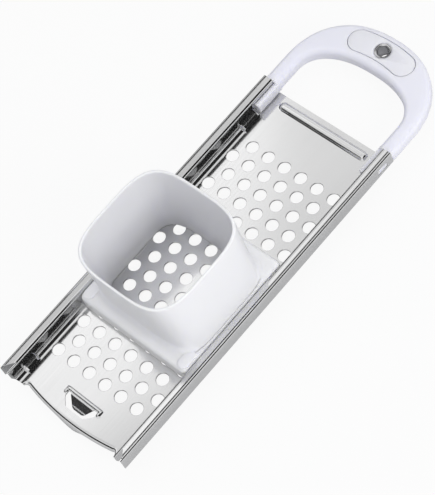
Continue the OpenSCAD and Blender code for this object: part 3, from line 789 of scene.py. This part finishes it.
# Up the fillet and the outside of the cup, over the rim, and down inside the chamber.
for a in np.radians(np.linspace(90, 0, 11)):
    u = 1 - math.cos(a)
    z = SLED_TOP + FILLET * (1 - math.sin(a))
    rings.append(cup_ring(z, CUP_WALL + SIDE_FLARE * u, CUP_WALL + FILLET * u))
rings += [cup_ring(z, CUP_WALL, CUP_WALL) for z in np.linspace(SLED_TOP + FILLET, rim_z, 22)[1:]]
for a in np.radians(np.linspace(0, 180, 13))[1:]:
    grow = RIM_THIN + rim_r * (1 + math.cos(a))
    rings.append(cup_ring(rim_z + rim_r * math.sin(a), grow, grow))
for z in np.linspace(rim_z, SEAT, 26)[1:]:
    thin = RIM_THIN * max(z / rim_z - 0.5, 0) * 2
    rings.append(cup_ring(z, thin, thin))
# Low down, the sides follow the tray's bends.
for ring in rings:
    below = np.clip(BEND_R + SEAT - ring[:, 2], 0, BEND_R)
    room = SLED_HALF - BEND_R + np.sqrt(BEND_R ** 2 - below ** 2)
    ring[:, 0] = np.clip(ring[:, 0], -room, room)
    ring[:, 1] += HOPPER_Y
shell = add_loft("hopper_shell", rings, closed=True)


PAD_X, PAD_HALF, PAD_CORNER = 38.5, 3.5, 1
PAD_FRONT, PAD_REAR = HOPPER_Y - 41.5, HOPPER_Y - 29.5


def pad_outline(side, z, inset):
    """A pad on the sled: round at its front, and square with small corners at its rear."""
    half, rear = PAD_HALF - inset, PAD_REAR - inset
    line = arc(0, PAD_FRONT + inset + half, half, 180, 360, 12)
    line += arc(half - PAD_CORNER, rear - PAD_CORNER, PAD_CORNER, 0, 90, 4)
    line += arc(-half + PAD_CORNER, rear - PAD_CORNER, PAD_CORNER, 90, 180, 4)
    return [(side * PAD_X + x, y, z) for x, y in line]


pad_levels = [(10.2, 0), (11.8, 0), (11.9, 0.08), (11.97, 0.2), (12.0, 0.36)]
pads = [add_loft("sled_pad", [pad_outline(side, z, inset) for z, inset in pad_levels]) for side in (-1, 1)]

HOLLOW_HALF = SLED_HALF - SKIN
HOLLOW_CORNER = 1.9
hollow_end = sled_end - SKIN
hollow_bend = arc(HOLLOW_HALF - HOLLOW_CORNER, hollow_end - HOLLOW_CORNER, HOLLOW_CORNER, 0, 90, 5)
cup_outline = cup_ring(SLED_TOP, CUP_WALL, CUP_WALL)
hollows = []
for side in (-1, 1):
    line = sorted((x, side * y) for x, y, _ in cup_outline if side * y > 30 and abs(x) < HOLLOW_HALF - 0.1)
    line += hollow_bend + [(-x, y) for x, y in reversed(hollow_bend)]
    line = line if side > 0 else line[::-1]
    levels = (-2, SLED_TOP - SKIN)
    hollows.append(add_loft("sled_hollow", [[(x, side * y + HOPPER_Y, z) for x, y in line] for z in levels]))


def merge(whole, operation, others):
    """Joins or cuts with solid pieces, which are used up."""
    for other in others:
        step = whole.modifiers.new(operation.lower(), "BOOLEAN")
        step.operation = operation
        step.solver = "MANIFOLD"
        step.object = other
    whole = bake(whole, whole.name + "_whole")
    for other in others:
        bpy.data.objects.remove(other)
    return whole


shell = merge(shell, "UNION", pads)
hopper = merge(shell, "DIFFERENCE", hollows)
hopper.name = hopper.data.name = "hopper_cup"
smooth_faces(hopper, 35)


# Glossy moulded polypropylene: a cool white with a fine orange-peel skin and a slightly
# uneven gloss.
def plastic(name, colour, darker, low, high, skin):
    material = bpy.data.materials.new(name)
    material.use_nodes = True
    nodes, links = material.node_tree.nodes, material.node_tree.links
    shader = nodes["Principled BSDF"]
    tone = texture(nodes, links, "ShaderNodeTexNoise", 30, Detail=3)
    links.new(ramp(nodes, links, tone, [(0.1, darker), (0.9, colour)]), shader.inputs["Base Color"])
    gloss = texture(nodes, links, "ShaderNodeTexNoise", 55, Detail=2)
    links.new(spread(nodes, links, gloss, low, high, 0.1, 0.9), shader.inputs["Roughness"])
    grain = texture(nodes, links, "ShaderNodeTexNoise", 900, Detail=2)
    links.new(bump(nodes, links, grain, 0.00002, skin), shader.inputs["Normal"])
    shader.inputs["IOR"].default_value = 1.49
    shader.inputs["Subsurface Weight"].default_value = 0.8
    shader.inputs["Subsurface Radius"].default_value = (0.003, 0.003, 0.0033)
    shader.inputs["Subsurface Scale"].default_value = 1
    return material


hopper.data.materials.clear()
finish = plastic("hopper_plastic", (0.862, 0.862, 0.886), (0.849, 0.849, 0.876), 0.28, 0.34, 0.25)
hopper.data.materials.append(finish)
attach(hopper, "hopper_body")
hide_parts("hopper")

# ---------- Handle ----------
# One moulding of white plastic: a bow with two legs. Each leg ends in a tongue inside its
# rail, whose snap tab stands in the window, and in a blade beside the rail's inner wall.
LEG_WIDTH = 10.3
LEG_HEIGHT = 10
BOW_Y = 256.0
BOW_REACH = 47.9
BOW_SQUARE = 2.3
GRIP_WIDTH = 25.2
GRIP_TOP = 10.7
GRIP_Y = 292.1
EDGE_R = 3.4


def bow_point(half_w, reach, turn):
    """A point of the bow's squarish oval in plan."""
    c, s = math.cos(turn), math.sin(turn)
    x = math.copysign(half_w * abs(c) ** (2 / BOW_SQUARE), c)
    return np.array([x, BOW_Y + reach * abs(s) ** (2 / BOW_SQUARE)])


def bow_section(inner, outer, top):
    """Counterclockwise as seen along the bow: rounded at all four long edges."""
    across = outer - inner
    width = np.hypot(*across)
    way = across / width
    ring = []
    for corner, (u, v) in enumerate(((width - EDGE_R, top - EDGE_R), (EDGE_R, top - EDGE_R),
                                     (EDGE_R, EDGE_R), (width - EDGE_R, EDGE_R))):
        for a in np.radians(np.linspace(90 * corner, 90 * corner + 90, 9)):
            p = inner + way * (u + EDGE_R * math.cos(a))
            ring.append((p[0], p[1], v + EDGE_R * math.sin(a)))
    return ring


bow_turns = np.linspace(0, math.pi, 121)
bow_turns = bow_turns + 0.06 * np.sin(4 * bow_turns)
inner_half, inner_reach = RAIL_X - LEG_WIDTH, BOW_REACH - GRIP_WIDTH


def leg_section(side, y):
    return bow_section(np.array([side * inner_half, y]), np.array([side * RAIL_X, y]), LEG_HEIGHT)


rings = [leg_section(1, y) for y in np.linspace(TRAY_LENGTH, BOW_Y, 6)[:-1]]
for turn in bow_turns:
    inner, outer = bow_point(inner_half, inner_reach, turn), bow_point(RAIL_X, BOW_REACH, turn)
    rings.append(bow_section(inner, outer, LEG_HEIGHT + (GRIP_TOP - LEG_HEIGHT) * math.sin(turn)))
rings += [leg_section(-1, y) for y in np.linspace(BOW_Y, TRAY_LENGTH, 6)[1:]]
bow = add_loft("bow", rings)


def soft_box(name, low, high, r=0.35):
    """A box whose long edges along the tray are slightly broken."""
    (x0, y0, z0), (x1, y1, z1) = low, high
    line = arc(x1 - r, z1 - r, r, 0, 90, 3) + arc(x0 + r, z1 - r, r, 90, 180, 3)
    line += arc(x0 + r, z0 + r, r, 180, 270, 3) + arc(x1 - r, z0 + r, r, 270, 360, 3)
    return add_loft(name, [[(x, y, z) for x, z in line] for y in (y1, y0)])


clip_boxes = (
    ("tongue", (44.35, 220.8, 2.65), (49.35, 241, 9.85)),
    ("snap_tab", (48.8, 226.15, 4.6), (50.2, 233.85, 8.3)),
    ("blade", (40.0, 220.8, 1.2), (43.25, 241, 8.2)),
)
clips = []
for side in (-1, 1):
    for name, low, high in clip_boxes:
        xs = sorted((side * low[0], side * high[0]))
        clips.append(soft_box(name, (xs[0], low[1], low[2]), (xs[1], high[1], high[2])))
bow = merge(bow, "UNION", clips)

# The inlay's outline follows the middle of the grip: a curved strip with round ends.
INLAY_LENGTH = 48.5
INLAY_WIDTH = 15.3
mid_half, mid_reach = RAIL_X - LEG_WIDTH / 2, GRIP_Y - BOW_Y
inlay_reach = (INLAY_LENGTH - INLAY_WIDTH) / 2
sag = mid_reach * (1 - (1 - (inlay_reach / mid_half) ** BOW_SQUARE) ** (1 / BOW_SQUARE))
inlay_r = (inlay_reach ** 2 + sag ** 2) / (2 * sag)
inlay_spread = math.degrees(math.asin(inlay_reach / inlay_r))


def inlay_ring(grow, z):
    half = INLAY_WIDTH / 2 + grow
    cy = GRIP_Y - inlay_r
    line = arc(0, cy, inlay_r + half, 90 - inlay_spread, 90 + inlay_spread, 40)
    ratio = inlay_r / (inlay_r + half)
    ex, ey = line[-1][0] * ratio, cy + (line[-1][1] - cy) * ratio
    line += arc(ex, ey, half, 90 + inlay_spread, 270 + inlay_spread, 24)[1:-1]
    line += arc(0, cy, inlay_r - half, 90 + inlay_spread, 90 - inlay_spread, 40)
    line += arc(-ex, ey, half, -90 - inlay_spread, 90 - inlay_spread, 24)[1:-1]
    return [(x, y, z) for x, y in line]


def round_ring(r, z, steps=64):
    """A circle about the eyelet's axis."""
    return [(x, y, z) for x, y in arc(0, GRIP_Y, r, 0, 360, steps)[:-1]]


# Each level of a lofted cut or cap is its height and how far it grows or its radius.
seat_cut = [(8.7, 0.45), (10.5, 0.45), (10.6, 0.48), (10.68, 0.56), (10.74, 0.75), (11.5, 3.8)]
seat = add_loft("inlay_seat", [inlay_ring(grow, z) for z, grow in seat_cut])
barrel = add_loft("barrel_hole", [round_ring(4.4, -1), round_ring(4.4, 9.5)])
recess = add_loft("washer_recess", [round_ring(6.45, -1), round_ring(6.45, 0.6)])
handle = merge(bow, "DIFFERENCE", [seat, barrel, recess])
handle.name = handle.data.name = "bow_handle"
smooth_faces(handle, 35)
handle.data.materials.clear()
finish = plastic("handle_plastic", (0.811, 0.811, 0.88), (0.797, 0.797, 0.872), 0.29, 0.37, 0.3)
handle.data.materials.append(finish)
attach(handle, "tray_body")
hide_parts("handle")

# ---------- Handle inlay ----------
# A cap of the same white plastic, pressed into a seat in the top of the grip. A fine
# groove is left around it, and its middle holds the eyelet's countersunk seat.
levels = [(8.7, -0.2), (8.9, 0), (10.4, 0), (10.56, -0.06), (10.66, -0.17), (10.7, -0.34)]
cap = add_loft("inlay_cap", [inlay_ring(grow, z) for z, grow in levels])
sink_levels = [(8.0, 4.4), (9.9, 4.4), (10.05, 4.6), (10.1, 5.0), (10.1, 5.7)]
sink_levels += [(10.25, 5.8), (10.5, 5.88), (10.64, 6.0), (10.72, 6.2), (11.2, 8.0)]
countersink = add_loft("countersink", [round_ring(r, z) for z, r in sink_levels])
inlay = merge(cap, "DIFFERENCE", [countersink])
inlay.name = inlay.data.name = "grip_inlay"
smooth_faces(inlay, 35)
inlay.data.materials.clear()
finish = plastic("inlay_plastic", (0.82, 0.82, 0.89), (0.806, 0.806, 0.882), 0.28, 0.35, 0.3)
inlay.data.materials.append(finish)
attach(inlay, "tray_body")
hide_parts("handle_inlay")

# ---------- Hanging eyelet ----------
# A rivet of thin bright metal tube. Its upper end is spun out into a rounded flange in the
# inlay's seat, and its lower end is rolled out over the washer.
BORE_R = 3.75
profile = [(BORE_R, 0.35)] + arc(BORE_R + 1.0, 9.4, 1.0, 180, 100, 8)
profile += [(4.95, 10.55)] + arc(5.0, 10.4, 0.3, 70, -60, 8)
profile += [(4.9, 10.1), (4.6, 9.95), (4.4, 9.7), (4.33, 9.4), (4.33, 0.72)]
profile += [(4.5, 0.68), (4.9, 0.66), (5.0, 0.45), (4.9, 0.2), (4.5, 0.05), (4.0, 0.05)]


def add_turned(name, line):
    """A turned or spun piece about the eyelet's axis, from its closed outline."""
    return add_loft(name, [round_ring(r, z, 96) for r, z in line], closed=True)


eyelet = add_turned("spun_eyelet", profile)
smooth_faces(eyelet, 40)
rivet_metal = bpy.data.materials.new("eyelet_metal")
rivet_metal.use_nodes = True
nodes, links = rivet_metal.node_tree.nodes, rivet_metal.node_tree.links
shader = nodes["Principled BSDF"]
shader.inputs["Metallic"].default_value = 1
tint = texture(nodes, links, "ShaderNodeTexNoise", 160, Detail=3)
rivet_tones = [(0.3, (0.56, 0.56, 0.57)), (0.7, (0.66, 0.66, 0.67))]
links.new(ramp(nodes, links, tint, rivet_tones), shader.inputs["Base Color"])
links.new(spread(nodes, links, tint, 0.16, 0.26), shader.inputs["Roughness"])
marks = texture(nodes, links, "ShaderNodeTexNoise", 700, Detail=2)
links.new(bump(nodes, links, marks, 0.00002, 0.3), shader.inputs["Normal"])
eyelet.data.materials.append(rivet_metal)
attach(eyelet, "tray_body")
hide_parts("hanging_eyelet")

# ---------- Eyelet washer ----------
# A flat ring of the same metal under the grip, with slightly rounded edges. The eyelet's
# lower end is rolled over it.
ring_line = [(4.35, 0.1), (4.35, 0.5), (4.45, 0.6), (6.0, 0.6), (6.2, 0.5)]
ring_line += [(6.25, 0.3), (6.2, 0.1), (6.0, 0.0), (4.45, 0.0)]
washer = add_turned("flat_washer", ring_line)
smooth_faces(washer, 40)
washer.data.materials.append(rivet_metal)
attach(washer, "tray_body")
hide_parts("eyelet_washer")
